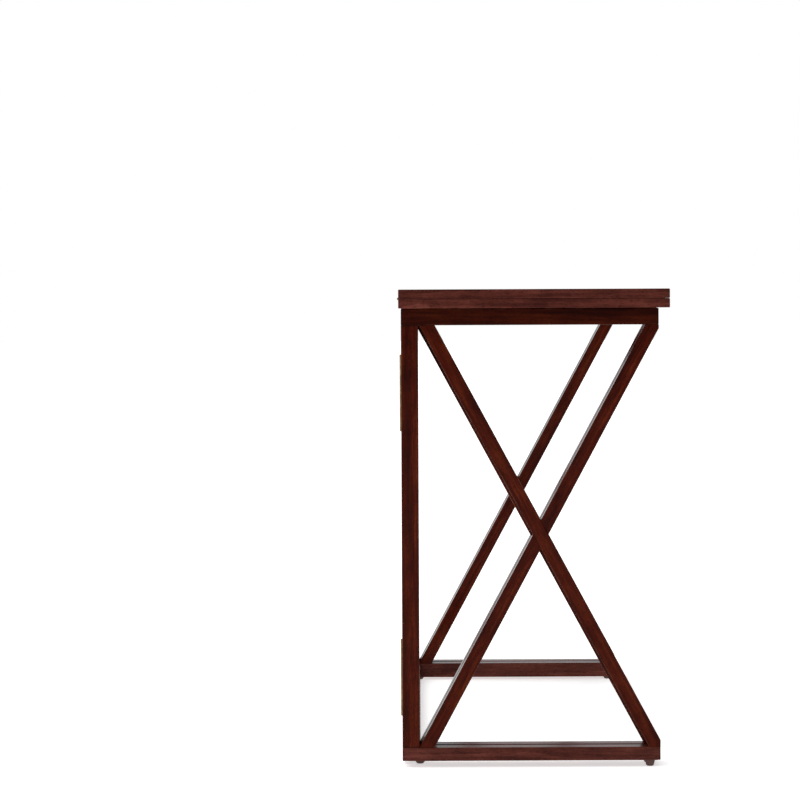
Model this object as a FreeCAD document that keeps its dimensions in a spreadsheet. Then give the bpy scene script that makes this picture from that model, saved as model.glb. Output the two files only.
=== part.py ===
"""Fold-over gate-leg table, modelled closed.

A double top lies on two braced end frames. The upper leaf flips over on three hinges along one
long edge, and a braced gate at each end swings out by half a turn to carry it.

Axes: X runs across the closed top with the hinge edge at -X, Y runs along the top, Z is up. The
origin is on the floor under the middle of the closed top. Inside each wooden piece x is measured
from the hinge edge of the leaves, so most sizes are positive lengths.
"""

import FreeCAD
import Part
import Sketcher

import os

# name, value in millimetres, what it is
SIZES = [
    ("leaf_length", 864, "length of both leaves, along Y"),
    ("leaf_width", 432, "width of both leaves, along X"),
    ("leaf_thickness", 15, "thickness of each leaf"),
    ("leaf_gap", 0.2, "gap between the closed leaves"),
    ("leaf_round", 1.5, "rounded edge of a leaf"),
    ("frame_height", 731.8, "floor to the underside of the lower leaf"),
    ("end_overhang", 37, "leaf end to the outer face of an end frame"),
    ("outer_overhang", 17, "leaf edge to the frames, opposite the hinges"),
    ("hinge_setback", 4, "hinge edge of the leaves to the edge of the frames"),
    ("stock_thickness", 22, "thickness of every bar"),
    ("post_width", 27.5, "width of a hinge post"),
    ("rail_height", 27, "height of rails, aprons and stretcher"),
    ("brace_width", 21.6, "width of a brace"),
    ("brace_toe_top", 3.5, "width cut off a brace at its upper end"),
    ("brace_toe_bottom", 1, "width cut off a brace at its lower end"),
    ("gate_brace_shift", 5, "falling brace of a gate, set over from the post"),
    ("bar_round", 1.6, "rounded long edges of the bars"),
    ("foot_height", 5, "floor to the underside of a bottom rail"),
    ("gate_foot_height", 11, "floor to the underside of a gate"),
    ("gate_clearance", 0.5, "gate to the leaf above it, and glide to the floor"),
    ("edge_gap", 0.3, "hinge axis to the edge of the wood"),
    ("knuckle_width", 4.5, "outside diameter of the hinge knuckles"),
    ("knuckle_gap", 0.3, "end gap and clearance round a knuckle"),
    ("pin_width", 2.4, "diameter of the hinge pins"),
    ("pin_clearance", 0.05, "clearance round a pin in the turning knuckles"),
    ("plate_width", 13.5, "hinge axis to the far edge of a plate"),
    ("plate_thickness", 1.2, "thickness of a hinge plate"),
    ("gate_strip", 123, "length of a gate hinge"),
    ("gate_strip_inset", 47, "post end to the end of a gate hinge"),
    ("leaf_strip", 76, "length of a leaf hinge"),
    ("leaf_strip_inset", 90, "leaf end to the end of the outer leaf hinges"),
    ("recess_clearance", 0.2, "clearance round a plate let into a leaf"),
    ("screw_reach", 8.5, "hinge axis to the row of hinge screws"),
    ("screw_width", 2.8, "diameter of a hinge screw"),
    ("screw_head", 5.2, "diameter of a hinge screw head"),
    ("screw_length", 11, "length of a hinge screw"),
    ("screw_tip", 0.3, "diameter of the blunt tip of any screw"),
    ("screw_clearance", 0.1, "clearance round screws, bolts and dowels"),
    ("dowel_width", 6, "diameter of a dowel"),
    ("dowel_length", 16, "length of a dowel"),
    ("apron_setback", 7, "frame edge to the outer face of an apron"),
    ("bolt_width", 6, "diameter of a frame bolt"),
    ("bolt_head", 10, "diameter of a bolt head"),
    ("bolt_head_height", 6, "height of a bolt head"),
    ("bolt_length", 45, "length of a bolt under its head"),
    ("bolt_socket", 5, "width across the flats of the bolt socket"),
    ("nut_width", 10, "diameter of a barrel nut"),
    ("nut_length", 14, "length of a barrel nut"),
    ("nut_reach", 22, "apron end to the middle of a barrel nut"),
    ("top_screw_width", 4, "diameter of a screw that holds the top"),
    ("top_screw_head", 8, "diameter of its head"),
    ("top_screw_length", 28, "length of such a screw"),
    ("top_screw_sink", 10, "depth of the counterbore for its head"),
    ("top_screw_inset", 75, "end of a rail or apron to its nearest top screw"),
    ("glide_width", 16.5, "diameter of a glide where it meets the rail"),
    ("glide_foot", 10.5, "diameter of a glide at the floor"),
    ("glide_bevel", 1, "bevels at the floor and at the rail"),
    ("glide_shank", 3, "diameter of the shank driven into the rail"),
    ("glide_shank_length", 9, "length of that shank"),
    ("glide_hinge_inset", 28, "frame edge to the glide near the hinge post"),
    ("glide_free_inset", 16, "free end of a frame to the glide there"),
]
KNUCKLES = {"gate_strip": 9, "leaf_strip": 5}
SCREWS = {"gate_strip": 4, "leaf_strip": 3}
LEAF_HINGES = 3
# cross recess of a screw, as shares of the diameter and the height of its head
CROSS_LENGTH = 0.6
CROSS_WIDTH = 0.14
CROSS_DEPTH = 0.6

doc = FreeCAD.newDocument("fold_over_table")
parts = []


# ---- sizes -----------------------------------------------------------------------------------


def make_sheet():
    """The driving sizes, one row each: name, value, meaning."""
    sheet = doc.addObject("Spreadsheet::Sheet", "Size")
    for row, (name, value, meaning) in enumerate(SIZES, start=1):
        sheet.set(f"A{row}", name)
        sheet.set(f"B{row}", str(value))
        sheet.setAlias(f"B{row}", name)
        sheet.set(f"C{row}", meaning)
    return sheet


def make_places():
    """Places worked out from the sizes, used by several pieces."""
    places = doc.addObject("App::VarSet", "Place")
    rules = {
        "inner_span": "Size.leaf_length - 2 * (Size.end_overhang + Size.stock_thickness)",
        "outer_edge": "Size.leaf_width - Size.outer_overhang",
        "post_edge": "Size.hinge_setback + Size.post_width",
        "top_joint": "Size.frame_height - Size.rail_height",
        "bottom_joint": "Size.foot_height + Size.rail_height",
        "brace_width_run": "Place.outer_edge - Place.post_edge"
        " + Size.brace_toe_top + Size.brace_toe_bottom",
        "brace_height_run": "Place.top_joint - Place.bottom_joint",
        # sideways step of a brace for each unit of height
        "brace_lean": "(Place.brace_width_run * Place.brace_height_run - Size.brace_width"
        " * sqrt(Place.brace_width_run ^ 2 + Place.brace_height_run ^ 2 - Size.brace_width ^ 2))"
        " / (Place.brace_height_run ^ 2 - Size.brace_width ^ 2)",
        # length of the cut where a brace meets a rail
        "brace_foot": "Place.brace_width_run - Place.brace_height_run * Place.brace_lean",
        "gate_axis": "Size.hinge_setback - Size.edge_gap",
        "seam": "Size.frame_height + Size.leaf_thickness",
        "hinge_apron": "Size.hinge_setback + Size.apron_setback",
        "outer_apron": "Place.outer_edge - Size.apron_setback - Size.stock_thickness",
        "half_stock": "Size.stock_thickness / 2",
    }
    for name in rules:
        places.addProperty("App::PropertyFloat", name)
    for name, rule in rules.items():
        places.setExpression(name, rule)
    return places


def bind(obj, **rules):
    """Bind properties to expressions; two underscores in a name stand for a dot."""
    for name, rule in rules.items():
        obj.setExpression(name.replace("__", "."), rule)


def place(obj, x="0", y="0", z="0"):
    bind(obj, Placement__Base__x=x, Placement__Base__y=y, Placement__Base__z=z)


# ---- sketches and features of a body ---------------------------------------------------------


def new_body(label):
    body = doc.addObject("PartDesign::Body", label)
    body.Label = label
    parts.append(body)
    return body


def new_sketch(body, name, role, offset="0"):
    """A sketch on an origin plane of the body, moved along the plane's normal by offset."""
    sketch = body.newObject("Sketcher::SketchObject", f"{body.Name}_{name}")
    plane = next(o for o in body.Origin.OriginFeatures if o.Role == role)
    sketch.AttachmentSupport = [(plane, "")]
    sketch.MapMode = "FlatFace"
    bind(sketch, AttachmentOffset__Base__z=offset)
    return sketch


def pin_point(sketch, geometry, end, x, y):
    """Hold one point of a sketch at x, y from its origin."""
    for kind, rule in (("DistanceX", x), ("DistanceY", y)):
        value = float(sketch.evalExpression(rule))
        index = sketch.addConstraint(Sketcher.Constraint(kind, -1, 1, geometry, end, value))
        sketch.setExpression(f"Constraints[{index}]", rule)


def add_outline(sketch, corners):
    """A closed outline through corners, each a pair of expressions."""
    points = [
        FreeCAD.Vector(sketch.evalExpression(x), sketch.evalExpression(y), 0) for x, y in corners
    ]
    lines = [
        sketch.addGeometry(Part.LineSegment(a, b))
        for a, b in zip(points, points[1:] + points[:1])
    ]
    for line, after in zip(lines, lines[1:] + lines[:1]):
        sketch.addConstraint(Sketcher.Constraint("Coincident", line, 2, after, 1))
    for line, (x, y) in zip(lines, corners):
        pin_point(sketch, line, 1, x, y)


def rectangle(x_low, x_high, y_low, y_high):
    return [(x_low, y_low), (x_high, y_low), (x_high, y_high), (x_low, y_high)]


def add_circles(sketch, centres, diameter):
    for x, y in centres:
        centre = FreeCAD.Vector(sketch.evalExpression(x), sketch.evalExpression(y), 0)
        radius = float(sketch.evalExpression(diameter)) / 2
        circle = sketch.addGeometry(Part.Circle(centre, FreeCAD.Vector(0, 0, 1), radius))
        index = sketch.addConstraint(Sketcher.Constraint("Diameter", circle, 2 * radius))
        sketch.setExpression(f"Constraints[{index}]", diameter)
        pin_point(sketch, circle, 3, x, y)


def pad(body, sketch, length, backwards=False):
    feature = body.newObject("PartDesign::Pad", f"{sketch.Name}_pad")
    feature.Profile = sketch
    feature.Reversed = backwards
    bind(feature, Length=length)
    doc.recompute()
    return feature


def pocket(body, sketch, length, backwards=False):
    """Cut the sketch out of the body, and make sure that the cut removes something."""
    before = body.Shape.Volume
    feature = body.newObject("PartDesign::Pocket", f"{sketch.Name}_cut")
    feature.Profile = sketch
    feature.Reversed = backwards
    bind(feature, Length=length)
    doc.recompute()
    if feature.Shape.Volume > before - 1e-6:
        raise RuntimeError(f"{feature.Name} cuts nothing")
    return feature


def round_edges(body, feature, radius, wanted):
    """Round the straight edges of the last feature whose direction passes the test wanted."""
    names = []
    for number, edge in enumerate(feature.Shape.Edges, start=1):
        ends = [vertex.Point for vertex in edge.Vertexes]
        direction = (ends[1] - ends[0]).normalize()
        if wanted(direction):
            names.append(f"Edge{number}")
    fillet = body.newObject("PartDesign::Fillet", f"{body.Name}_round")
    fillet.Base = (feature, names)
    bind(fillet, Radius=radius)
    doc.recompute()
    return fillet


def along(axis):
    """A test for edges that run along one axis: 0, 1 or 2."""
    return lambda direction: abs(direction[axis]) > 0.999


def slanted(direction):
    """A test for edges that run up a brace."""
    return abs(direction.x) > 0.1 and abs(direction.z) > 0.1


def drill_z(body, name, level, centres, diameter, depth, up):
    """Round holes from one level of the body, going up or down."""
    sketch = new_sketch(body, name, "XY_Plane", level)
    add_circles(sketch, centres, diameter)
    pocket(body, sketch, depth, backwards=up)


def drill_y(body, name, level, centres, diameter, depth, inward):
    """Round holes from the plane y = level; inward means towards +Y."""
    sketch = new_sketch(body, name, "XZ_Plane", f"-({level})")
    add_circles(sketch, centres, diameter)
    pocket(body, sketch, depth, backwards=not inward)


# ---- groups of equal pieces ------------------------------------------------------------------


def copy_at(master, name, x, y, z, rotation=FreeCAD.Rotation()):
    link = doc.addObject("App::Link", name)
    link.LinkedObject = master
    link.LinkTransform = False
    link.Placement = FreeCAD.Placement(FreeCAD.Vector(), rotation)
    place(link, x, y, z)
    return link


def group(label, members):
    compound = doc.addObject("Part::Compound", label)
    compound.Label = label
    compound.Links = members
    parts.append(compound)
    return compound


def cylinder(name, diameter, height, x="0", y="0", z="0", rotation=FreeCAD.Rotation()):
    shape = doc.addObject("Part::Cylinder", name)
    shape.Placement = FreeCAD.Placement(FreeCAD.Vector(), rotation)
    bind(shape, Radius=f"({diameter}) / 2", Height=height)
    place(shape, x, y, z)
    return shape


def cone(name, bottom, top, height, x="0", y="0", z="0", rotation=FreeCAD.Rotation()):
    shape = doc.addObject("Part::Cone", name)
    shape.Placement = FreeCAD.Placement(FreeCAD.Vector(), rotation)
    bind(shape, Radius1=f"({bottom}) / 2", Radius2=f"({top}) / 2", Height=height)
    place(shape, x, y, z)
    return shape


def block(name, length, width, height, x="0", y="0", z="0"):
    shape = doc.addObject("Part::Box", name)
    bind(shape, Length=length, Width=width, Height=height)
    place(shape, x, y, z)
    return shape


def fuse(name, shapes):
    joined = doc.addObject("Part::MultiFuse", name)
    joined.Shapes = shapes
    joined.Refine = True
    return joined


def cut(name, base, tool):
    result = doc.addObject("Part::Cut", name)
    result.Base = base
    result.Tool = tool
    return result


TO_PLUS_Y = FreeCAD.Rotation(FreeCAD.Vector(1, 0, 0), -90)
TO_MINUS_Y = FreeCAD.Rotation(FreeCAD.Vector(1, 0, 0), 90)
UPSIDE_DOWN = FreeCAD.Rotation(FreeCAD.Vector(1, 0, 0), 180)


# ---- hardware shared by several nodes --------------------------------------------------------


def hinge_plate(name, strip, back, side, first):
    """One plate of a hinge with its knuckles, standing on the axis z.

    The plate lies towards +x with its back at y = back times side. Its knuckles are every second
    one, starting with number first.
    """
    count = KNUCKLES[strip]
    pitch = f"Size.{strip} / {count}"
    depth = f"{back} - Size.plate_thickness" if side > 0 else f"-({back})"
    plate = block(
        f"{name}_leaf", "Size.plate_width", "Size.plate_thickness", f"Size.{strip}", y=depth
    )
    own = [
        cylinder(
            f"{name}_knuckle_{number}",
            "Size.knuckle_width",
            f"{pitch} - Size.knuckle_gap",
            z=f"{number} * {pitch} + Size.knuckle_gap / 2",
        )
        for number in range(first, count, 2)
    ]
    spaces = [
        cylinder(
            f"{name}_space_{number}",
            "Size.knuckle_width + 2 * Size.knuckle_gap",
            f"{pitch} + Size.knuckle_gap",
            z=f"{number} * {pitch} - Size.knuckle_gap / 2",
        )
        for number in range(1 - first, count, 2)
    ]
    # the pin is tight in the knuckles of the moving plate and turns in the others
    bore = "Size.pin_width" if first else "Size.pin_width + 2 * Size.pin_clearance"
    spaces.append(cylinder(f"{name}_bore", bore, f"Size.{strip}"))
    screw_gap = "2 * Size.screw_clearance"
    for number in range(SCREWS[strip]):
        spaces.append(
            cone(
                f"{name}_sink_{number}",
                f"Size.screw_head + {screw_gap}",
                f"Size.screw_width + {screw_gap}",
                "Size.plate_thickness",
                x="Size.screw_reach",
                y=f"{side} * ({back} - Size.plate_thickness)",
                z=screw_height(strip, number),
                rotation=TO_PLUS_Y if side > 0 else TO_MINUS_Y,
            )
        )
    body = fuse(f"{name}_solid", [plate] + own)
    return cut(name, body, fuse(f"{name}_openings", spaces))


def screw_height(strip, number):
    """Distance of a hinge screw from the end of its strip."""
    return f"({number} + 0.5) * Size.{strip} / {SCREWS[strip]}"


def screw(name, width, head, sink, length):
    """A countersunk screw, its head at the origin and its point towards -z."""
    pieces = [
        cone(f"{name}_head", width, head, sink, z=f"-({sink})"),
        cylinder(f"{name}_shank", width, f"{length} - {width}", z=f"{width} - {length}"),
        cone(f"{name}_point", "Size.screw_tip", width, width, z=f"-({length})"),
    ]
    long_side = f"{CROSS_LENGTH} * {head}"
    short_side = f"{CROSS_WIDTH} * {head}"
    cross = []
    for tag, x_side, y_side in (("x", long_side, short_side), ("y", short_side, long_side)):
        slot = block(f"{name}_slot_{tag}", x_side, y_side, sink)
        place(slot, f"-{x_side} / 2", f"-{y_side} / 2", f"-{CROSS_DEPTH} * {sink}")
        cross.append(slot)
    return cut(name, fuse(f"{name}_solid", pieces), fuse(f"{name}_recess", cross))


def bolt():
    """A socket head bolt, the underside of its head at the origin, its shank towards +z."""
    head = cylinder("bolt_cap", "Size.bolt_head", "Size.bolt_head_height")
    place(head, z="-Size.bolt_head_height")
    shank = cylinder("bolt_shank", "Size.bolt_width", "Size.bolt_length")
    socket = doc.addObject("Part::Prism", "bolt_hexagon")
    socket.Polygon = 6
    bind(socket, Circumradius="Size.bolt_socket / sqrt(3)", Height="Size.bolt_head_height / 2")
    place(socket, z="-Size.bolt_head_height")
    return cut("bolt", fuse("bolt_solid", [head, shank]), socket)


def barrel_nut():
    """A cross dowel, standing on the origin, with its hole along y."""
    barrel = cylinder("nut_barrel", "Size.nut_width", "Size.nut_length")
    hole = cylinder(
        "nut_hole",
        "Size.bolt_width",
        "2 * Size.nut_width",
        y="-Size.nut_width",
        z="Size.nut_length / 2",
        rotation=TO_PLUS_Y,
    )
    return cut("barrel_nut", barrel, hole)


def glide(name, length):
    """A turned glide with its shank, standing on the origin."""
    body = doc.addObject("PartDesign::Body", name)
    sketch = new_sketch(body, "profile", "XZ_Plane")
    corners = [
        ("0", "0"),
        ("Size.glide_foot / 2", "0"),
        ("Size.glide_foot / 2 + Size.glide_bevel", "Size.glide_bevel"),
        ("Size.glide_width / 2", f"{length} - Size.glide_bevel"),
        ("Size.glide_width / 2", length),
        ("Size.glide_shank / 2", length),
        ("Size.glide_shank / 2", f"{length} + Size.glide_shank_length"),
        ("0", f"{length} + Size.glide_shank_length"),
    ]
    add_outline(sketch, corners)
    turned = body.newObject("PartDesign::Revolution", f"{name}_turned")
    turned.Profile = sketch
    turned.ReferenceAxis = (sketch, ["V_Axis"])
    turned.Angle = 360
    doc.recompute()
    return body


# ---- wooden panels: end frames and gates -----------------------------------------------------

FALLING = "falling"
RISING = "rising"


POST_MIDDLE = "(Size.hinge_setback + Size.post_width / 2)"
DOWEL_HOLE = "Size.dowel_width + 2 * Size.screw_clearance"
DOWEL_DEPTH = "Size.dowel_length / 2 + Size.screw_clearance"


def at_half_stock(columns):
    return [(x, "Place.half_stock") for x in columns]


class Panel:
    """One end frame or gate: where it stands, which way it faces and what it rests on."""

    def __init__(self, prefix, low_face, outer_is_low, is_gate):
        self.prefix = prefix
        self.low_face = low_face
        self.outer_is_low = outer_is_low
        self.is_gate = is_gate
        self.top = "Size.frame_height - Size.gate_clearance" if is_gate else "Size.frame_height"
        self.bottom = "Size.gate_foot_height" if is_gate else "Size.foot_height"
        # hinges lie on the outer face of a frame and on the inner face of a closed gate
        self.hinge_on_low = outer_is_low != is_gate

    def bar(self, name, corners, wanted):
        """One bar: an outline in the plane of the panel, as thick as the stock."""
        body = new_body(f"{self.prefix}_{name}")
        place(body, "-Size.leaf_width / 2", self.low_face)
        sketch = new_sketch(body, "outline", "XZ_Plane")
        add_outline(sketch, corners)
        solid = pad(body, sketch, "Size.stock_thickness", backwards=True)
        round_edges(body, solid, "Size.bar_round", wanted)
        return body

    def is_set_over(self, kind):
        """Whether a brace stands clear of the post at its top, as one of a gate does."""
        return self.is_gate and kind == FALLING

    def brace_outline(self, kind):
        """Corners of a brace between post and free edge; rising is falling, left for right."""
        near, far, sign, other = "Place.post_edge", "Place.outer_edge", "+", "-"
        if kind == RISING:
            near, far, sign, other = far, near, "-", "+"
        toe = "Size.brace_toe_bottom"
        top = [
            (near, "Place.top_joint - Size.brace_toe_top / Place.brace_lean"),
            (near, "Place.top_joint"),
            (f"{near} {sign} (Place.brace_foot - Size.brace_toe_top)", "Place.top_joint"),
        ]
        if self.is_set_over(kind):
            toe = "(Size.brace_toe_bottom + Size.gate_brace_shift)"
            start = f"{near} + Size.gate_brace_shift - Size.brace_toe_top"
            top = [(start, "Place.top_joint"), (f"{start} + Place.brace_foot", "Place.top_joint")]
        bottom = [
            (far, f"Place.bottom_joint + {toe} / Place.brace_lean"),
            (far, "Place.bottom_joint"),
            (f"{far} {other} (Place.brace_foot - {toe})", "Place.bottom_joint"),
        ]
        return top + bottom

    def brace_feet(self, kind):
        """Middle of the foot of a brace at its top and at its bottom."""
        near, far, sign, other = "Place.post_edge", "Place.outer_edge", "+", "-"
        if kind == RISING:
            near, far, sign, other = far, near, "-", "+"
        half_top = "(Place.brace_foot - Size.brace_toe_top) / 2"
        half_bottom = "(Place.brace_foot - Size.brace_toe_bottom) / 2"
        if self.is_set_over(kind):
            top = f"{near} + Size.gate_brace_shift - Size.brace_toe_top + Place.brace_foot / 2"
            return top, f"{far} - {half_bottom} + Size.gate_brace_shift / 2"
        return f"{near} {sign} {half_top}", f"{far} {other} {half_bottom}"

    def dowel_columns(self, at_top):
        """x of the three dowels at the top or at the bottom of the panel."""
        index = 0 if at_top else 1
        return [POST_MIDDLE, self.brace_feet(FALLING)[index], self.brace_feet(RISING)[index]]

    def dowel_holes(self, body, name, level, columns, up):
        centres = at_half_stock(columns)
        drill_z(body, name, level, centres, DOWEL_HOLE, DOWEL_DEPTH, up)

    def post(self):
        corners = rectangle(
            "Size.hinge_setback", "Place.post_edge", "Place.bottom_joint", "Place.top_joint"
        )
        body = self.bar("post", corners, along(2))
        self.dowel_holes(body, "top_dowel", "Place.top_joint", [POST_MIDDLE], up=False)
        self.dowel_holes(body, "bottom_dowel", "Place.bottom_joint", [POST_MIDDLE], up=True)
        centres = [
            ("Place.gate_axis + Size.screw_reach", f"{start} + {screw_height('gate_strip', n)}")
            for start in GATE_STRIPS
            for n in range(SCREWS["gate_strip"])
        ]
        drill_y(
            body,
            "screw_holes",
            "0" if self.hinge_on_low else "Size.stock_thickness",
            centres,
            "Size.screw_width + 2 * Size.screw_clearance",
            "Size.screw_length",
            inward=self.hinge_on_low,
        )

    def top_rail(self):
        corners = rectangle(
            "Size.hinge_setback", "Place.outer_edge", "Place.top_joint", self.top
        )
        body = self.bar("top_rail", corners, lambda direction: True)
        self.dowel_holes(body, "dowels", "Place.top_joint", self.dowel_columns(True), up=True)
        if self.is_gate:
            return
        columns = [
            "Size.hinge_setback + Size.top_screw_inset",
            "Place.outer_edge - Size.top_screw_inset",
        ]
        top_screw_holes(body, at_half_stock(columns))
        middle = "Place.top_joint + Size.rail_height / 2"
        centres = [(f"{x} + Place.half_stock", middle) for x in APRON_STARTS]
        self.bolt_holes(body, centres)

    def bottom_rail(self):
        corners = rectangle(
            "Size.hinge_setback", "Place.outer_edge", self.bottom, "Place.bottom_joint"
        )
        body = self.bar("bottom_rail", corners, lambda direction: True)
        columns = self.dowel_columns(False)
        self.dowel_holes(body, "dowels", "Place.bottom_joint", columns, up=False)
        drill_z(
            body,
            "glide_holes",
            self.bottom,
            at_half_stock(self.glide_columns()),
            "Size.glide_shank + 2 * Size.screw_clearance",
            "Size.glide_shank_length + Size.screw_clearance",
            up=True,
        )
        if not self.is_gate:
            middle = "Size.foot_height + Size.rail_height / 2"
            self.bolt_holes(body, [(f"{STRETCHER_START} + Place.half_stock", middle)])

    def glide_columns(self):
        free = "Place.outer_edge - Size.glide_free_inset"
        return [free] if self.is_gate else ["Size.hinge_setback + Size.glide_hinge_inset", free]

    def bolt_holes(self, body, centres):
        """Clearance holes for frame bolts, with their heads sunk in the outer face."""
        level = "0" if self.outer_is_low else "Size.stock_thickness"
        gap = "2 * Size.screw_clearance"
        drill_y(
            body,
            "bolt_heads",
            level,
            centres,
            f"Size.bolt_head + {gap}",
            "Size.bolt_head_height + Size.screw_clearance",
            inward=self.outer_is_low,
        )
        drill_y(
            body,
            "bolt_shanks",
            level,
            centres,
            f"Size.bolt_width + {gap}",
            "Size.stock_thickness",
            inward=self.outer_is_low,
        )

    def brace(self, kind):
        """A brace, halved where it crosses the other one.

        The falling brace keeps its outer half at the crossing, so it runs through on that face.
        """
        other = RISING if kind == FALLING else FALLING
        label = "through_brace" if kind == FALLING else "lapped_brace"
        body = self.bar(label, self.brace_outline(kind), slanted)
        lap = new_sketch(body, "lap", "XZ_Plane", "-Place.half_stock")
        add_outline(lap, self.brace_outline(other))
        cuts_high_half = (kind == FALLING) == self.outer_is_low
        pocket(body, lap, "Size.stock_thickness", backwards=not cuts_high_half)
        top, bottom = self.brace_feet(kind)
        self.dowel_holes(body, "top_dowel", "Place.top_joint", [top], up=False)
        self.dowel_holes(body, "bottom_dowel", "Place.bottom_joint", [bottom], up=True)

    def dowels(self):
        members = []
        for at_top, level in ((True, "Place.top_joint"), (False, "Place.bottom_joint")):
            for number, x in enumerate(self.dowel_columns(at_top)):
                end = "top" if at_top else "bottom"
                members.append(
                    copy_at(
                        dowel_pin,
                        f"{self.prefix}_dowel_{end}_{number}",
                        f"{x} - Size.leaf_width / 2",
                        f"{self.low_face} + Place.half_stock",
                        f"{level} - Size.dowel_length / 2",
                    )
                )
        group(f"{self.prefix}_dowels", members)

    def glides(self, master):
        members = [
            copy_at(
                master,
                f"{self.prefix}_glide_{number}",
                f"{x} - Size.leaf_width / 2",
                f"{self.low_face} + Place.half_stock",
                "Size.gate_clearance" if self.is_gate else "0",
            )
            for number, x in enumerate(self.glide_columns())
        ]
        group(f"{self.prefix}_glide" if self.is_gate else f"{self.prefix}_glides", members)

    def build(self):
        self.post()
        self.top_rail()
        self.bottom_rail()
        self.brace(FALLING)
        self.brace(RISING)
        self.dowels()


GATE_STRIPS = [
    "Place.bottom_joint + Size.gate_strip_inset",
    "Place.top_joint - Size.gate_strip_inset - Size.gate_strip",
]
APRON_STARTS = ["Place.hinge_apron", "Place.outer_apron"]
STRETCHER_START = "Place.hinge_apron"


# ---- aprons, stretcher and leaves ------------------------------------------------------------


def top_screw_holes(body, centres):
    """Holes for the screws that hold the top, counterbored from below."""
    gap = "2 * Size.screw_clearance"
    level = "Place.top_joint"
    head = f"Size.top_screw_head + {gap}"
    drill_z(body, "screw_heads", level, centres, head, "Size.top_screw_sink", up=True)
    shank = f"Size.top_screw_width + {gap}"
    drill_z(body, "screw_shanks", level, centres, shank, "Size.rail_height", up=True)


def long_rail(label, start, bottom, holds_top):
    """An apron or the stretcher, between the two end frames."""
    body = new_body(label)
    place(body, "-Size.leaf_width / 2", "-Place.inner_span / 2")
    sketch = new_sketch(body, "section", "XZ_Plane")
    end = f"{start} + Size.stock_thickness"
    add_outline(sketch, rectangle(start, end, bottom, f"{bottom} + Size.rail_height"))
    solid = pad(body, sketch, "Place.inner_span", backwards=True)
    round_edges(body, solid, "Size.bar_round", along(1))
    centre_x = f"{start} + Place.half_stock"
    centre = [(centre_x, f"{bottom} + Size.rail_height / 2")]
    width = "Size.bolt_width + 2 * Size.screw_clearance"
    depth = "Size.bolt_length"
    drill_y(body, "low_bolt", "0", centre, width, depth, inward=True)
    drill_y(body, "high_bolt", "Place.inner_span", centre, width, depth, inward=False)
    ends = [(centre_x, "Size.nut_reach"), (centre_x, "Place.inner_span - Size.nut_reach")]
    drill_z(
        body,
        "nuts",
        bottom,
        ends,
        "Size.nut_width + 2 * Size.screw_clearance",
        "Size.rail_height / 2 + Size.nut_length / 2 + Size.screw_clearance",
        up=True,
    )
    if holds_top:
        screws = [(centre_x, y) for y in long_screw_rows()]
        top_screw_holes(body, screws)


def long_screw_rows():
    """y of the top screws in an apron, from its end."""
    return ["Size.top_screw_inset", "Place.inner_span - Size.top_screw_inset"]


def leaf_hinge_starts():
    """y of the start of each leaf hinge, from the end of the leaf."""
    first = "Size.leaf_strip_inset"
    step = f"(Size.leaf_length - 2 * {first} - Size.leaf_strip) / {LEAF_HINGES - 1}"
    return [f"{first} + {number} * {step}" for number in range(LEAF_HINGES)]


def leaf(label, level, up):
    """A leaf with its seam face at z = level; up is True for the upper one."""
    body = new_body(label)
    place(body, "-Size.leaf_width / 2", "-Size.leaf_length / 2", level)
    sketch = new_sketch(body, "outline", "XY_Plane")
    add_outline(sketch, rectangle("0", "Size.leaf_width", "0", "Size.leaf_length"))
    solid = pad(body, sketch, "Size.leaf_thickness", backwards=not up)
    round_edges(body, solid, "Size.leaf_round", lambda direction: True)
    gap = "Size.recess_clearance"
    recess = new_sketch(body, "plate_recess", "XY_Plane")
    relief = new_sketch(body, "knuckle_relief", "XY_Plane")
    relief_reach = "Size.knuckle_width / 2 - Size.edge_gap + Size.knuckle_gap"
    for start in leaf_hinge_starts():
        span = (f"{start} - {gap}", f"{start} + Size.leaf_strip + {gap}")
        add_outline(recess, rectangle("0", f"Size.plate_width - Size.edge_gap + {gap}", *span))
        add_outline(relief, rectangle("0", relief_reach, *span))
    pocket(body, recess, "Size.plate_thickness", backwards=up)
    depth = "Size.knuckle_width / 2 - Size.leaf_gap / 2 + Size.knuckle_gap"
    pocket(body, relief, depth, backwards=up)
    centres = [
        ("Size.screw_reach - Size.edge_gap", f"{start} + {screw_height('leaf_strip', number)}")
        for start in leaf_hinge_starts()
        for number in range(SCREWS["leaf_strip"])
    ]
    hole = "Size.screw_width + 2 * Size.screw_clearance"
    drill_z(body, "screw_holes", "0", centres, hole, "Size.screw_length", up=up)
    return body


def top_screw_places():
    """x and y of every top screw, from the hinge edge and from the middle of the top."""
    rail_x = [
        "Size.hinge_setback + Size.top_screw_inset",
        "Place.outer_edge - Size.top_screw_inset",
    ]
    rail_y = "Place.inner_span / 2 + Place.half_stock"
    places = [(x, f"{sign}({rail_y})") for x in rail_x for sign in ("-", "")]
    for start in APRON_STARTS:
        for row in long_screw_rows():
            places.append((f"{start} + Place.half_stock", f"{row} - Place.inner_span / 2"))
    return places


# ---- fastenings and hinges --------------------------------------------------------------------

OUTER_FACE = "(Place.inner_span / 2 + Size.stock_thickness)"
GATE_FACE = f"({OUTER_FACE} + Size.knuckle_width)"


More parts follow.
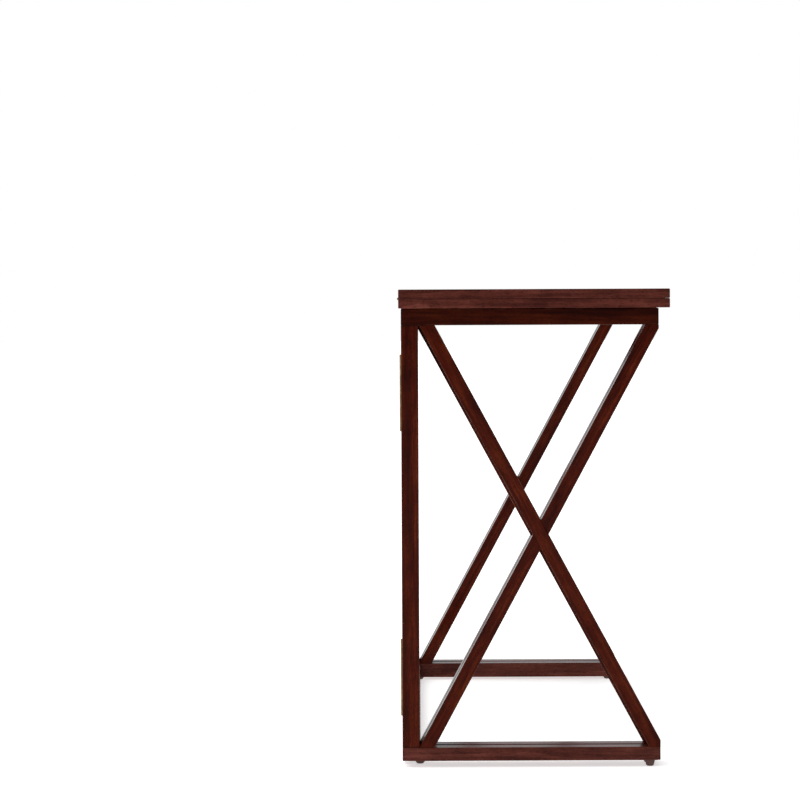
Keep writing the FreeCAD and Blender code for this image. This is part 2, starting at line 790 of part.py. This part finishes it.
def add_top_screws(lower):
    """The screws that hold the top, and their holes in the lower leaf."""
    places = top_screw_places()
    pilots = [(x, f"{y} + Size.leaf_length / 2") for x, y in places]
    sink = "(Size.top_screw_head - Size.top_screw_width) / 2"
    above_rail = f"Size.top_screw_sink + Size.top_screw_length - Size.rail_height - {sink}"
    drill_z(
        lower,
        "top_screw_holes",
        "-Size.leaf_thickness",
        pilots,
        "Size.top_screw_width + 2 * Size.screw_clearance",
        f"{above_rail} + Size.screw_clearance",
        up=True,
    )
    master = screw(
        "top_screw", "Size.top_screw_width", "Size.top_screw_head", sink, "Size.top_screw_length"
    )
    level = f"Place.top_joint + Size.top_screw_sink - {sink}"
    members = [
        copy_at(master, f"top_screw_{n}", f"{x} - Size.leaf_width / 2", y, level, UPSIDE_DOWN)
        for n, (x, y) in enumerate(places)
    ]
    group("top_screws", members)


def add_bolts():
    """A bolt and a barrel nut at each end of the aprons and of the stretcher."""
    bolt_master = bolt()
    nut_master = barrel_nut()
    bolts = []
    nuts = []
    rows = [(start, "Place.top_joint") for start in APRON_STARTS]
    rows.append((STRETCHER_START, "Size.foot_height"))
    under_head = f"({OUTER_FACE} - Size.bolt_head_height)"
    nut_y = "(Place.inner_span / 2 - Size.nut_reach)"
    for number, (start, bottom) in enumerate(rows):
        x = f"{start} + Place.half_stock - Size.leaf_width / 2"
        middle = f"{bottom} + Size.rail_height / 2"
        nut_z = f"{middle} - Size.nut_length / 2"
        for end, sign, turn in (("near", "-", TO_PLUS_Y), ("far", "", TO_MINUS_Y)):
            name = f"{end}_{number}"
            y = f"{sign}{under_head}"
            bolts.append(copy_at(bolt_master, f"bolt_{name}", x, y, middle, turn))
            nuts.append(copy_at(nut_master, f"nut_{name}", x, f"{sign}{nut_y}", nut_z))
    group("frame_bolts", bolts)
    group("barrel_nuts", nuts)


def add_gate_hinges(end, hinge_screw, plates, pin):
    """Two strip hinges between an end frame and its gate."""
    is_near = end == "near"
    # the far hinges are the near ones turned over, so they hang from their upper end
    turn = FreeCAD.Rotation() if is_near else UPSIDE_DOWN
    sign, inward, outward = ("-", "+", "-") if is_near else ("", "-", "+")
    into_frame, into_gate = (TO_MINUS_Y, TO_PLUS_Y) if is_near else (TO_PLUS_Y, TO_MINUS_Y)
    x = "Place.gate_axis - Size.leaf_width / 2"
    y = f"{sign}({OUTER_FACE} + Size.knuckle_width / 2)"
    screw_x = f"{x} + Size.screw_reach"
    screw_face = "(Size.knuckle_width / 2 - Size.plate_thickness)"
    sides = {
        "frame": (plates[0], f"{y} {inward} {screw_face}", into_frame),
        "gate": (plates[1], f"{y} {outward} {screw_face}", into_gate),
    }
    levels = [start if is_near else f"{start} + Size.gate_strip" for start in GATE_STRIPS]
    for side, (plate, screw_y, screw_turn) in sides.items():
        tag = f"{end}_{side}"
        members = [
            copy_at(plate, f"{tag}_plate_{n}", x, y, level, turn)
            for n, level in enumerate(levels)
        ]
        group(f"{end}_hinge_{side}_plates", members)
        heights = [
            f"{start} + {screw_height('gate_strip', n)}"
            for start in GATE_STRIPS
            for n in range(SCREWS["gate_strip"])
        ]
        members = [
            copy_at(hinge_screw, f"{tag}_screw_{n}", screw_x, screw_y, height, screw_turn)
            for n, height in enumerate(heights)
        ]
        group(f"{end}_hinge_{side}_screws", members)
    members = [
        copy_at(pin, f"{end}_pin_{n}", x, y, level, turn) for n, level in enumerate(levels)
    ]
    group(f"{end}_hinge_pins", members)


def add_leaf_hinges(hinge_screw, plates, pin):
    """Strip hinges let into both leaves, with their axis in the seam."""
    x = "-Size.leaf_width / 2 - Size.edge_gap"
    z = "Place.seam + Size.leaf_gap / 2"
    rows = [f"{start} - Size.leaf_length / 2" for start in leaf_hinge_starts()]
    masters = {
        "leaf_hinge_lower_plates": plates[0],
        "leaf_hinge_upper_plates": plates[1],
        "leaf_hinge_pins": pin,
    }
    for label, master in masters.items():
        members = [
            copy_at(master, f"{label}_{n}", x, y, z, TO_PLUS_Y) for n, y in enumerate(rows)
        ]
        group(label, members)
    screw_rows = [
        f"{y} + {screw_height('leaf_strip', n)}" for y in rows for n in range(SCREWS["leaf_strip"])
    ]
    sides = {
        "lower": ("Place.seam", FreeCAD.Rotation()),
        "upper": ("Place.seam + Size.leaf_gap", UPSIDE_DOWN),
    }
    for side, (level, turn) in sides.items():
        label = f"leaf_hinge_{side}_screws"
        screw_x = f"{x} + Size.screw_reach"
        members = [
            copy_at(hinge_screw, f"{label}_{n}", screw_x, y, level, turn)
            for n, y in enumerate(screw_rows)
        ]
        group(label, members)


def add_hinges():
    hinge_screw = screw(
        "hinge_screw",
        "Size.screw_width",
        "Size.screw_head",
        "Size.plate_thickness",
        "Size.screw_length",
    )
    backs = {
        "gate_strip": "Size.knuckle_width / 2",
        "leaf_strip": "(Size.leaf_gap / 2 + Size.plate_thickness)",
    }
    plates = {}
    pins = {}
    for strip, back in backs.items():
        plates[strip] = (
            hinge_plate(f"{strip}_fixed", strip, back, side=1, first=0),
            hinge_plate(f"{strip}_moving", strip, back, side=-1, first=1),
        )
        pins[strip] = cylinder(f"{strip}_pin", "Size.pin_width", f"Size.{strip}")
    for end in ("near", "far"):
        add_gate_hinges(end, hinge_screw, plates["gate_strip"], pins["gate_strip"])
    add_leaf_hinges(hinge_screw, plates["leaf_strip"], pins["leaf_strip"])


# ---- the whole table -------------------------------------------------------------------------

make_sheet()
doc.recompute()
make_places()
doc.recompute()

panels = [
    Panel("near_frame", f"-{OUTER_FACE}", outer_is_low=True, is_gate=False),
    Panel("far_frame", "Place.inner_span / 2", outer_is_low=False, is_gate=False),
    Panel("near_gate", f"-{GATE_FACE} - Size.stock_thickness", outer_is_low=True, is_gate=True),
    Panel("far_gate", GATE_FACE, outer_is_low=False, is_gate=True),
]
dowel_pin = cylinder("dowel_pin", "Size.dowel_width", "Size.dowel_length")
base_glide = glide("glide_short", "Size.foot_height")
gate_glide = glide("glide_tall", "(Size.gate_foot_height - Size.gate_clearance)")
for panel in panels:
    panel.build()
    panel.glides(gate_glide if panel.is_gate else base_glide)

long_rail("hinge_side_apron", APRON_STARTS[0], "Place.top_joint", holds_top=True)
long_rail("outer_apron", APRON_STARTS[1], "Place.top_joint", holds_top=True)
long_rail("low_stretcher", STRETCHER_START, "Size.foot_height", holds_top=False)

lower_leaf = leaf("lower_leaf", "Place.seam", up=False)
leaf("upper_leaf", "Place.seam + Size.leaf_gap", up=True)
add_top_screws(lower_leaf)
add_bolts()
add_hinges()


# ---- check and write -------------------------------------------------------------------------

doc.recompute()
failed = [o.Name for o in doc.Objects if {"Invalid", "Error"} & set(o.State)]
if failed:
    raise RuntimeError(f"these objects failed: {failed}")
for part in parts:
    if part.Shape.isNull() or not part.Shape.isValid() or part.Shape.Volume <= 0:
        raise RuntimeError(f"{part.Label} has no valid shape")

os.makedirs("parts", exist_ok=True)
for part in parts:
    part.Shape.exportStep(os.path.join("parts", f"{part.Label}.step"))
print(f"wrote {len(parts)} parts")
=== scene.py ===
"""Looks of a fold-over gate-leg table: stained wood, antique brass, zinc and brown plastic."""

import math

import bpy
import numpy as np
from mathutils import Euler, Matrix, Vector

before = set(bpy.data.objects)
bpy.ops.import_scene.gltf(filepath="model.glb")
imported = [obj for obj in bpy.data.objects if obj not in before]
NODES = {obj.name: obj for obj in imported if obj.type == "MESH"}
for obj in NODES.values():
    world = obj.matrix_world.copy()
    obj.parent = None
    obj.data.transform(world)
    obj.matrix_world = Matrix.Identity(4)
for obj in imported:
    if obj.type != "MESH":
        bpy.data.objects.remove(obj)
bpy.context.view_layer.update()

# Sizes are in metres, angles in degrees where a name says so, colours are linear RGB.
CAMERA_PLACE = (-0.1840, -3.9215, 0.758)
CAMERA_LENS = 98.9
CAMERA_SHIFT = (-0.0227, -0.135)
CAMERA_ROLL_DEG = 0.25
SENSOR = 36.0
CLIP_NEAR, CLIP_FAR = 0.05, 200.0
KEY_WAY = (0.45, 0.35, -1.0)
KEY_STRENGTH = 1.7
KEY_ANGLE_DEG = 60.0

BACKGROUND = (1.0, 1.0, 1.0, 1.0)
SURROUND_FRONT = (0.10, 0.10, 0.103, 1.0)
SURROUND_BACK = (1.15, 1.15, 1.17, 1.0)
BRIGHT_SIDE = (-0.36, 0.92, 0.12)
FLOOR_COLOUR = (0.92, 0.915, 0.91, 1.0)
FLOOR_GLOW = 0.60
FLOOR_SIZE = 60.0

# Noise layers of the wood: scale along and across the grain, detail, roughness.
BAND = ((1.6, 42.0, 42.0), 3.0, 0.55)
STREAK = ((9.0, 210.0, 210.0), 4.0, 0.6)
FIBRE = ((60.0, 1150.0, 1150.0), 2.0, 0.6)
FLECK = ((170.0, 1500.0, 1500.0), 0.0, 0.5)
CHIP = ((30.0, 140.0, 140.0), 3.0, 0.6)
DRIFT = ((3.0, 16.0, 16.0), 2.0, 0.5)
BLOTCH_SCALE = 26.0
SWAY = 0.016
SEED_STEP = (0.37, 0.71, 0.19)
HEART = (0.0, 0.085, 0.05)
RING_SCALE = 34.0
TONE_LOW, TONE_HIGH = 0.58, 1.14
LEAF_LIP = 0.0016
EDGE_WEAR = 0.34
EDGE_REACH = (0.0021, 0.0004)
END_REACH = 0.0045
END_DARK = 0.45
PORE_DARK = 0.55
GRAIN_BUMP, GRAIN_DEPTH = 0.30, 0.00022
COAT_WEIGHT, COAT_ROUGHNESS, COAT_IOR = 0.75, 0.17, 1.15


def new_material(name):
    """An empty material and its Principled shader."""
    material = bpy.data.materials.new(name)
    material.use_nodes = True
    tree = material.node_tree
    tree.nodes.clear()
    shader = tree.nodes.new("ShaderNodeBsdfPrincipled")
    output = tree.nodes.new("ShaderNodeOutputMaterial")
    tree.links.new(shader.outputs["BSDF"], output.inputs["Surface"])
    return material, tree, shader


def add(tree, kind, settings, **inputs):
    """A node with its settings, and its inputs set or linked by name."""
    node = tree.nodes.new(kind)
    for key, value in settings.items():
        setattr(node, key, value)
    for key, value in inputs.items():
        socket = node.inputs[key]
        if isinstance(value, bpy.types.NodeSocket):
            tree.links.new(value, socket)
        else:
            socket.default_value = value
    return node


def calc(tree, operation, *values):
    """The output of a Math node."""
    node = tree.nodes.new("ShaderNodeMath")
    node.operation = operation
    for socket, value in zip(node.inputs, values):
        if isinstance(value, bpy.types.NodeSocket):
            tree.links.new(value, socket)
        else:
            socket.default_value = value
    return node.outputs[0]


def vector_calc(tree, operation, first, second):
    """The output of a Vector Math node."""
    node = tree.nodes.new("ShaderNodeVectorMath")
    node.operation = operation
    for socket, value in zip(node.inputs, (first, second)):
        if isinstance(value, bpy.types.NodeSocket):
            tree.links.new(value, socket)
        else:
            socket.default_value = value
    return node.outputs[0]


def noise(tree, vector, scale, detail=2.0, roughness=0.5):
    """The value of a Noise texture."""
    settings = {"Scale": scale, "Detail": detail, "Roughness": roughness}
    node = add(tree, "ShaderNodeTexNoise", {}, Vector=vector, **settings)
    return node.outputs["Fac"]


def layer(tree, vector, kind):
    """One of the wood's noise layers."""
    scale, detail, roughness = kind
    return noise(tree, vector_calc(tree, "MULTIPLY", vector, scale), 1.0, detail, roughness)


def spread(tree, value, low, high, to_low=0.0, to_high=1.0, smooth=True):
    """A value's range moved to another range, clamped."""
    node = tree.nodes.new("ShaderNodeMapRange")
    node.interpolation_type = "SMOOTHSTEP" if smooth else "LINEAR"
    node.clamp = True
    tree.links.new(value, node.inputs["Value"])
    ends = {"From Min": low, "From Max": high, "To Min": to_low, "To Max": to_high}
    for key, number in ends.items():
        node.inputs[key].default_value = number
    return node.outputs["Result"]


def ramp(tree, value, stops):
    """A colour ramp over (place, colour) stops."""
    node = tree.nodes.new("ShaderNodeValToRGB")
    tree.links.new(value, node.inputs["Fac"])
    elements = node.color_ramp.elements
    while len(elements) < len(stops):
        elements.new(0.5)
    for element, (place, colour) in zip(elements, stops):
        element.position = place
        element.color = (*colour, 1.0)
    return node.outputs["Color"]


def blend_colour(tree, amount, first, second, kind="MIX"):
    """Two colours mixed by an amount."""
    node = tree.nodes.new("ShaderNodeMix")
    node.data_type = "RGBA"
    node.blend_type = kind
    for place, value in ((0, amount), (6, first), (7, second)):
        if isinstance(value, bpy.types.NodeSocket):
            tree.links.new(value, node.inputs[place])
        else:
            node.inputs[place].default_value = value
    return node.outputs[2]


def bump(tree, height, strength, distance):
    """A normal from a height."""
    node = add(tree, "ShaderNodeBump", {}, Height=height, Strength=strength, Distance=distance)
    return node.outputs["Normal"]


def corners(node):
    """A CAD node's vertices as rows of numbers."""
    mesh = NODES[node].data
    places = np.zeros(len(mesh.vertices) * 3, np.float32)
    mesh.vertices.foreach_get("co", places)
    return places.reshape(-1, 3).astype(float)


def slope(node):
    """The angle of a brace above the X axis, from its long edges."""
    places = corners(node)
    pairs = np.zeros(len(NODES[node].data.edges) * 2, np.int32)
    NODES[node].data.edges.foreach_get("vertices", pairs)
    pairs = pairs.reshape(-1, 2)
    runs = places[pairs[:, 1]] - places[pairs[:, 0]]
    runs = runs[:, [0, 2]]
    lengths = np.linalg.norm(runs, axis=1)
    long_runs = runs[lengths > 0.5 * lengths.max()]
    angles = np.arctan2(long_runs[:, 1], long_runs[:, 0]) % math.pi
    return float(np.median(angles))


def grain_frame(node, direction):
    """The turn from X to the grain, the node's middle, and its half sizes along the grain."""
    turns = {
        "x": Euler((0.0, 0.0, 0.0)),
        "y": Euler((0.0, 0.0, math.pi / 2)),
        "z": Euler((0.0, -math.pi / 2, 0.0)),
    }
    turn = turns[direction] if direction in turns else Euler((0.0, -slope(node), 0.0))
    matrix = np.array(turn.to_matrix())
    local = corners(node) @ matrix
    low, high = local.min(0), local.max(0)
    middle = matrix @ ((low + high) / 2)
    return turn, Vector(middle), (high - low) / 2


FRAME_STOPS = (
    (0.00, (0.0090, 0.0008, 0.0003)),
    (0.30, (0.028, 0.0022, 0.0005)),
    (0.55, (0.054, 0.0048, 0.0009)),
    (0.78, (0.090, 0.0115, 0.0024)),
    (1.00, (0.140, 0.0260, 0.0080)),
)
# The top rails, close under the leaves, are darkened: painted shade from the leaves above them,
# not a different stain.
PAINTED_LEAF_SHADE_ON_TOP_RAILS = 0.60
# The leaves' stain; the bottom rails take it too as painted light, so they look lighter than the
# rest of the frame.
LEAF_AND_LIT_RAIL_STOPS = (
    (0.00, (0.022, 0.0045, 0.0032)),
    (0.30, (0.062, 0.0135, 0.0098)),
    (0.55, (0.108, 0.0265, 0.0185)),
    (0.78, (0.160, 0.0440, 0.0310)),
    (1.00, (0.230, 0.0740, 0.0520)),
)
WORN = (0.200, 0.066, 0.030, 1.0)
POOLED = (0.010, 0.0022, 0.0010, 1.0)


def wood(node, direction, stops, seed, lip=0.0):
    """Stained and lacquered wood, its grain along a direction; a lip is a band over both ends."""
    material, tree, shader = new_material(f"wood_{node}")
    turn, middle, half = grain_frame(node, direction)
    source = tree.nodes.new("ShaderNodeTexCoord").outputs["Object"]
    place = add(tree, "ShaderNodeMapping", {"vector_type": "TEXTURE"}, Vector=source)
    place.inputs["Location"].default_value = middle
    place.inputs["Rotation"].default_value = turn
    local = place.outputs["Vector"]
    axes = add(tree, "ShaderNodeSeparateXYZ", {}, Vector=local)
    to_end = calc(tree, "SUBTRACT", float(half[0]), calc(tree, "ABSOLUTE", axes.outputs["X"]))
    side = calc(tree, "SUBTRACT", float(half[1]), calc(tree, "ABSOLUTE", axes.outputs["Y"]))
    rise = calc(tree, "SUBTRACT", float(half[2]), calc(tree, "ABSOLUTE", axes.outputs["Z"]))
    to_edge = calc(tree, "MAXIMUM", side, rise)

    if lip:
        crossed = add(tree, "ShaderNodeCombineXYZ", {}, X=axes.outputs["Y"], Y=axes.outputs["X"])
        tree.links.new(axes.outputs["Z"], crossed.inputs["Z"])
        on_lip = spread(tree, to_end, lip, lip * 0.9)
        chosen = tree.nodes.new("ShaderNodeMix")
        chosen.data_type = "VECTOR"
        tree.links.new(on_lip, chosen.inputs[0])
        tree.links.new(local, chosen.inputs[4])
        tree.links.new(crossed.outputs[0], chosen.inputs[5])
        local = chosen.outputs[1]

    shifted = vector_calc(tree, "ADD", local, tuple(step * seed for step in SEED_STEP))
    drift = layer(tree, shifted, DRIFT)
    sway = calc(tree, "MULTIPLY", calc(tree, "SUBTRACT", drift, 0.5), SWAY)
    wander = add(tree, "ShaderNodeCombineXYZ", {}, Y=sway, Z=sway)
    grain = vector_calc(tree, "ADD", shifted, wander.outputs[0])

    band = layer(tree, grain, BAND)
    streak = layer(tree, grain, STREAK)
    fibre = layer(tree, grain, FIBRE)
    fleck = layer(tree, grain, FLECK)
    blotch = noise(tree, shifted, BLOTCH_SCALE, 3.0, 0.6)
    pore = spread(tree, fleck, 0.60, 0.72)

    rings = add(
        tree,
        "ShaderNodeTexWave",
        {"wave_type": "RINGS", "rings_direction": "X", "wave_profile": "SAW"},
        Vector=vector_calc(tree, "ADD", grain, HEART),
        Scale=RING_SCALE,
        Distortion=1.6,
        Detail=2.0,
    )
    rings.inputs["Detail Scale"].default_value = 0.7
    ring = rings.outputs["Fac"]

    tone = calc(tree, "MULTIPLY", band, 0.62)
    tone = calc(tree, "MULTIPLY_ADD", streak, 0.46, tone)
    tone = calc(tree, "MULTIPLY_ADD", fibre, 0.20, tone)
    tone = calc(tree, "MULTIPLY_ADD", ring, 0.10, tone)
    tone = calc(tree, "MULTIPLY_ADD", blotch, 0.34, tone)
    tone = spread(tree, tone, TONE_LOW, TONE_HIGH, smooth=False)
    colour = ramp(tree, tone, stops)
    dark = calc(tree, "MULTIPLY", pore, PORE_DARK)
    colour = blend_colour(tree, dark, colour, POOLED)

    rub = spread(tree, layer(tree, shifted, CHIP), 0.44, 0.66)
    near_edge = spread(tree, to_edge, *EDGE_REACH)
    worn = calc(tree, "MULTIPLY", calc(tree, "MULTIPLY", near_edge, rub), EDGE_WEAR)
    colour = blend_colour(tree, worn, colour, WORN)
    if not lip:
        near_end = spread(tree, to_end, END_REACH, 0.0)
        pooled = calc(tree, "MULTIPLY", near_end, END_DARK)
        colour = blend_colour(tree, pooled, colour, POOLED)

    rough = calc(tree, "MULTIPLY_ADD", streak, 0.12, 0.27)
    rough = calc(tree, "MULTIPLY_ADD", pore, 0.16, rough)
    rough = calc(tree, "MULTIPLY_ADD", blotch, 0.10, rough)
    height = calc(tree, "MULTIPLY_ADD", fibre, 0.5, calc(tree, "MULTIPLY", streak, 0.5))
    height = calc(tree, "MULTIPLY_ADD", pore, -0.9, height)
    tree.links.new(colour, shader.inputs["Base Color"])
    tree.links.new(rough, shader.inputs["Roughness"])
    tree.links.new(bump(tree, height, GRAIN_BUMP, GRAIN_DEPTH), shader.inputs["Normal"])
    shader.inputs["IOR"].default_value = 1.45
    shader.inputs["Specular IOR Level"].default_value = 0.0
    shader.inputs["Coat Weight"].default_value = COAT_WEIGHT
    shader.inputs["Coat Roughness"].default_value = COAT_ROUGHNESS
    shader.inputs["Coat IOR"].default_value = COAT_IOR
    return material


def brass():
    """Antiqued brass: dull gold with brown patina and fine rubbing marks."""
    material, tree, shader = new_material("antique_brass")
    source = tree.nodes.new("ShaderNodeTexCoord").outputs["Object"]
    cloud = noise(tree, source, 85.0, 4.0, 0.62)
    speck = noise(tree, source, 900.0, 3.0, 0.6)
    rub = noise(tree, vector_calc(tree, "MULTIPLY", source, (900.0, 900.0, 60.0)), 1.0, 2.0)
    tone = calc(tree, "MULTIPLY_ADD", cloud, 0.62, calc(tree, "MULTIPLY", speck, 0.26))
    tone = calc(tree, "MULTIPLY_ADD", rub, 0.22, tone)
    stops = (
        (0.30, (0.085, 0.052, 0.026)),
        (0.48, (0.200, 0.135, 0.066)),
        (0.62, (0.340, 0.245, 0.125)),
        (0.85, (0.520, 0.400, 0.230)),
    )
    tree.links.new(ramp(tree, tone, stops), shader.inputs["Base Color"])
    polish = calc(tree, "MULTIPLY_ADD", cloud, 0.6, calc(tree, "MULTIPLY", rub, 0.4))
    rough = spread(tree, polish, 0.3, 0.7, 0.52, 0.30)
    tree.links.new(rough, shader.inputs["Roughness"])
    height = calc(tree, "MULTIPLY_ADD", rub, 0.5, calc(tree, "MULTIPLY", speck, 0.5))
    tree.links.new(bump(tree, height, 0.22, 0.00008), shader.inputs["Normal"])
    shader.inputs["Metallic"].default_value = 1.0
    return material


def steel():
    """Zinc-plated steel with fine turning marks and a blue-grey cloud."""
    material, tree, shader = new_material("zinc_steel")
    source = tree.nodes.new("ShaderNodeTexCoord").outputs["Object"]
    cloud = noise(tree, source, 160.0, 3.0, 0.6)
    mark = noise(tree, vector_calc(tree, "MULTIPLY", source, (1600.0, 1600.0, 260.0)), 1.0, 2.0)
    tone = calc(tree, "MULTIPLY_ADD", cloud, 0.6, calc(tree, "MULTIPLY", mark, 0.4))
    stops = ((0.30, (0.22, 0.22, 0.23)), (0.55, (0.42, 0.42, 0.43)), (0.80, (0.60, 0.60, 0.62)))
    tree.links.new(ramp(tree, tone, stops), shader.inputs["Base Color"])
    tree.links.new(spread(tree, tone, 0.3, 0.7, 0.46, 0.26), shader.inputs["Roughness"])
    tree.links.new(bump(tree, mark, 0.18, 0.00006), shader.inputs["Normal"])
    shader.inputs["Metallic"].default_value = 1.0
    return material


def plastic():
    """Moulded brown plastic with a fine spark-eroded grain and scuffs."""
    material, tree, shader = new_material("glide_plastic")
    source = tree.nodes.new("ShaderNodeTexCoord").outputs["Object"]
    grain = noise(tree, source, 1400.0, 2.0, 0.6)
    scuff = noise(tree, source, 120.0, 4.0, 0.65)
    stops = (
        (0.30, (0.045, 0.014, 0.009)),
        (0.60, (0.085, 0.030, 0.020)),
        (0.85, (0.140, 0.062, 0.044)),
    )
    tone = calc(tree, "MULTIPLY_ADD", scuff, 0.75, calc(tree, "MULTIPLY", grain, 0.25))
    tree.links.new(ramp(tree, tone, stops), shader.inputs["Base Color"])
    tree.links.new(spread(tree, tone, 0.3, 0.8, 0.48, 0.72), shader.inputs["Roughness"])
    tree.links.new(bump(tree, grain, 0.25, 0.00010), shader.inputs["Normal"])
    return material


def beech():
    """Plain beech of the dowels: pale, with short dark rays."""
    material, tree, shader = new_material("beech")
    source = tree.nodes.new("ShaderNodeTexCoord").outputs["Object"]
    grain = noise(tree, vector_calc(tree, "MULTIPLY", source, (700.0, 700.0, 40.0)), 1.0, 3.0, 0.6)
    ray = noise(tree, vector_calc(tree, "MULTIPLY", source, (1400.0, 1400.0, 400.0)), 1.0, 0.0)
    tone = calc(tree, "MULTIPLY_ADD", ray, 0.3, calc(tree, "MULTIPLY", grain, 0.7))
    stops = ((0.30, (0.33, 0.20, 0.10)), (0.55, (0.52, 0.35, 0.20)), (0.80, (0.66, 0.48, 0.30)))
    tree.links.new(ramp(tree, tone, stops), shader.inputs["Base Color"])
    tree.links.new(spread(tree, grain, 0.3, 0.7, 0.55, 0.75), shader.inputs["Roughness"])
    tree.links.new(bump(tree, grain, 0.3, 0.00012), shader.inputs["Normal"])
    return material


def dress(node, material):
    """Puts one material on a CAD node."""
    mesh = NODES[node].data
    mesh.materials.clear()
    mesh.materials.append(material)


PARTS = ("post", "top_rail", "bottom_rail", "through_brace", "lapped_brace")
DIRECTIONS = {
    "post": "z",
    "top_rail": "x",
    "bottom_rail": "x",
    "through_brace": "slope",
    "lapped_brace": "slope",
}
PANELS = ("near_frame", "far_frame", "near_gate", "far_gate")
seed = 0
for panel in PANELS:
    for part in PARTS:
        seed += 1
        # Painted light: the bottom rails take the leaves' lighter colours.
        stops = LEAF_AND_LIT_RAIL_STOPS if part == "bottom_rail" else FRAME_STOPS
        if part == "top_rail":
            # Painted shade: the top rails' colours are darkened as if the leaves shade them.
            stops = [(at, tuple(PAINTED_LEAF_SHADE_ON_TOP_RAILS * c for c in colour)) for at, colour in stops]
        dress(f"{panel}_{part}", wood(f"{panel}_{part}", DIRECTIONS[part], stops, seed))
for long_part in ("hinge_side_apron", "outer_apron", "low_stretcher"):
    seed += 1
    dress(long_part, wood(long_part, "y", FRAME_STOPS, seed))
for leaf in ("lower_leaf", "upper_leaf"):
    seed += 1
    dress(leaf, wood(leaf, "y", LEAF_AND_LIT_RAIL_STOPS, seed, lip=LEAF_LIP))

METALS = {"brass": brass(), "steel": steel(), "plastic": plastic(), "beech": beech()}
for name in NODES:
    if name.endswith("glides") or name.endswith("glide"):
        dress(name, METALS["plastic"])
    elif name.endswith("dowels"):
        dress(name, METALS["beech"])
    elif "hinge_" in name and name != "hinge_side_apron":
        dress(name, METALS["brass"])
    elif name in ("top_screws", "frame_bolts", "barrel_nuts"):
        dress(name, METALS["steel"])


def make_floor():
    """A large pale floor that glows a little, so its shadows stay faint."""
    mesh = bpy.data.meshes.new("floor")
    reach = FLOOR_SIZE / 2
    places = [(-reach, -reach, 0), (reach, -reach, 0), (reach, reach, 0), (-reach, reach, 0)]
    mesh.from_pydata(places, [], [(0, 1, 2, 3)])
    floor = bpy.data.objects.new("floor", mesh)
    bpy.context.scene.collection.objects.link(floor)
    material, tree, shader = new_material("floor")
    shader.inputs["Base Color"].default_value = FLOOR_COLOUR
    shader.inputs["Roughness"].default_value = 0.9
    shader.inputs["Specular IOR Level"].default_value = 0.0
    shader.inputs["Emission Color"].default_value = BACKGROUND
    shader.inputs["Emission Strength"].default_value = FLOOR_GLOW
    mesh.materials.append(material)


def make_world():
    """A white background for the camera; light comes mostly from behind the table."""
    world = bpy.data.worlds.new("studio")
    bpy.context.scene.world = world
    world.use_nodes = True
    tree = world.node_tree
    tree.nodes.clear()
    shown = add(tree, "ShaderNodeBackground", {}, Color=BACKGROUND, Strength=1.0)
    way = tree.nodes.new("ShaderNodeTexCoord").outputs["Generated"]
    facing = add(tree, "ShaderNodeVectorMath", {"operation": "DOT_PRODUCT"})
    tree.links.new(way, facing.inputs[0])
    facing.inputs[1].default_value = BRIGHT_SIDE
    amount = spread(tree, facing.outputs["Value"], -0.1, 0.9)
    surround = blend_colour(tree, amount, SURROUND_FRONT, SURROUND_BACK)
    light = add(tree, "ShaderNodeBackground", {}, Color=surround, Strength=1.0)
    path = tree.nodes.new("ShaderNodeLightPath")
    mix = tree.nodes.new("ShaderNodeMixShader")
    output = tree.nodes.new("ShaderNodeOutputWorld")
    tree.links.new(path.outputs["Is Camera Ray"], mix.inputs[0])
    tree.links.new(light.outputs[0], mix.inputs[1])
    tree.links.new(shown.outputs[0], mix.inputs[2])
    tree.links.new(mix.outputs[0], output.inputs["Surface"])


def make_sun(name, direction, strength, angle_deg):
    """A soft sun shining along a direction."""
    light = bpy.data.lights.new(name, "SUN")
    light.energy = strength
    light.angle = math.radians(angle_deg)
    lamp = bpy.data.objects.new(name, light)
    lamp.rotation_mode = "QUATERNION"
    lamp.rotation_quaternion = Vector(direction).to_track_quat("-Z", "Y")
    bpy.context.scene.collection.objects.link(lamp)


def make_camera():
    """The camera at the photograph's angle."""
    data = bpy.data.cameras.new("camera")
    data.lens = CAMERA_LENS
    data.sensor_width = SENSOR
    data.shift_x, data.shift_y = CAMERA_SHIFT
    data.clip_start, data.clip_end = CLIP_NEAR, CLIP_FAR
    camera = bpy.data.objects.new("camera", data)
    camera.location = CAMERA_PLACE
    camera.rotation_euler = (math.pi / 2, math.radians(CAMERA_ROLL_DEG), 0.0)
    bpy.context.scene.collection.objects.link(camera)
    bpy.context.scene.camera = camera


make_floor()
make_world()
make_sun("key_sun", KEY_WAY, KEY_STRENGTH, KEY_ANGLE_DEG)
make_camera()
bpy.context.scene.view_settings.view_transform = "Standard"
